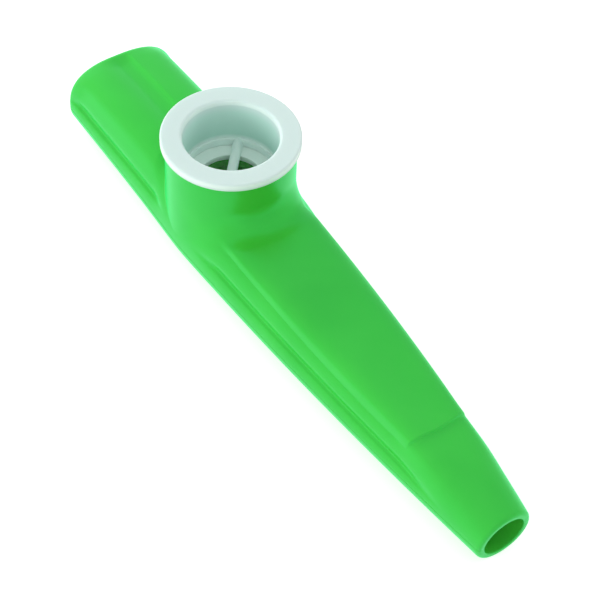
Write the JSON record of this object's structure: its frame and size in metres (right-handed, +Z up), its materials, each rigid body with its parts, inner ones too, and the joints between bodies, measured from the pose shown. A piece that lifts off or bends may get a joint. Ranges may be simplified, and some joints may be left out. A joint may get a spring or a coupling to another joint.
{
  "type": "kazoo",
  "caption": "Small plastic humming instrument: tapered hollow body with a wide mouth end, a round outlet, and a turret whose push-in cap holds a vibrating membrane.",
  "frame": {"origin": "on the flat belly that the kazoo rests on, under the middle of its length and width", "axes": "+X along the body from the wide mouth end to the round outlet, +Y across it, +Z up along the axis of turret and cap"},
  "size_m": [0.1184, 0.024, 0.025],
  "materials": {
    "body_plastic": "moulded glossy green plastic",
    "cap_plastic": "moulded satin white plastic",
    "ring_plastic": "plain white ring",
    "film": "thin clear film"
  },
  "bodies": {
    "body": {"upper_shell": "body_plastic", "lower_shell": "body_plastic"},
    "cap": {"cap": "cap_plastic"},
    "membrane": {"membrane_ring": "ring_plastic", "membrane_film": "film"}
  },
  "joints": [
    {"name": "cap_pull", "type": "slide", "parent": "body", "child": "cap", "axis": [0, 0, 1], "range_m": [0, 0.026]},
    {"name": "membrane_lift", "type": "slide", "parent": "body", "child": "membrane", "axis": [0, 0, 1], "range_m": [0, 0.013]}
  ],
  "couplings": [
    {"joint": "membrane_lift", "follows": "cap_pull", "ratio": 0.5}
  ]
}
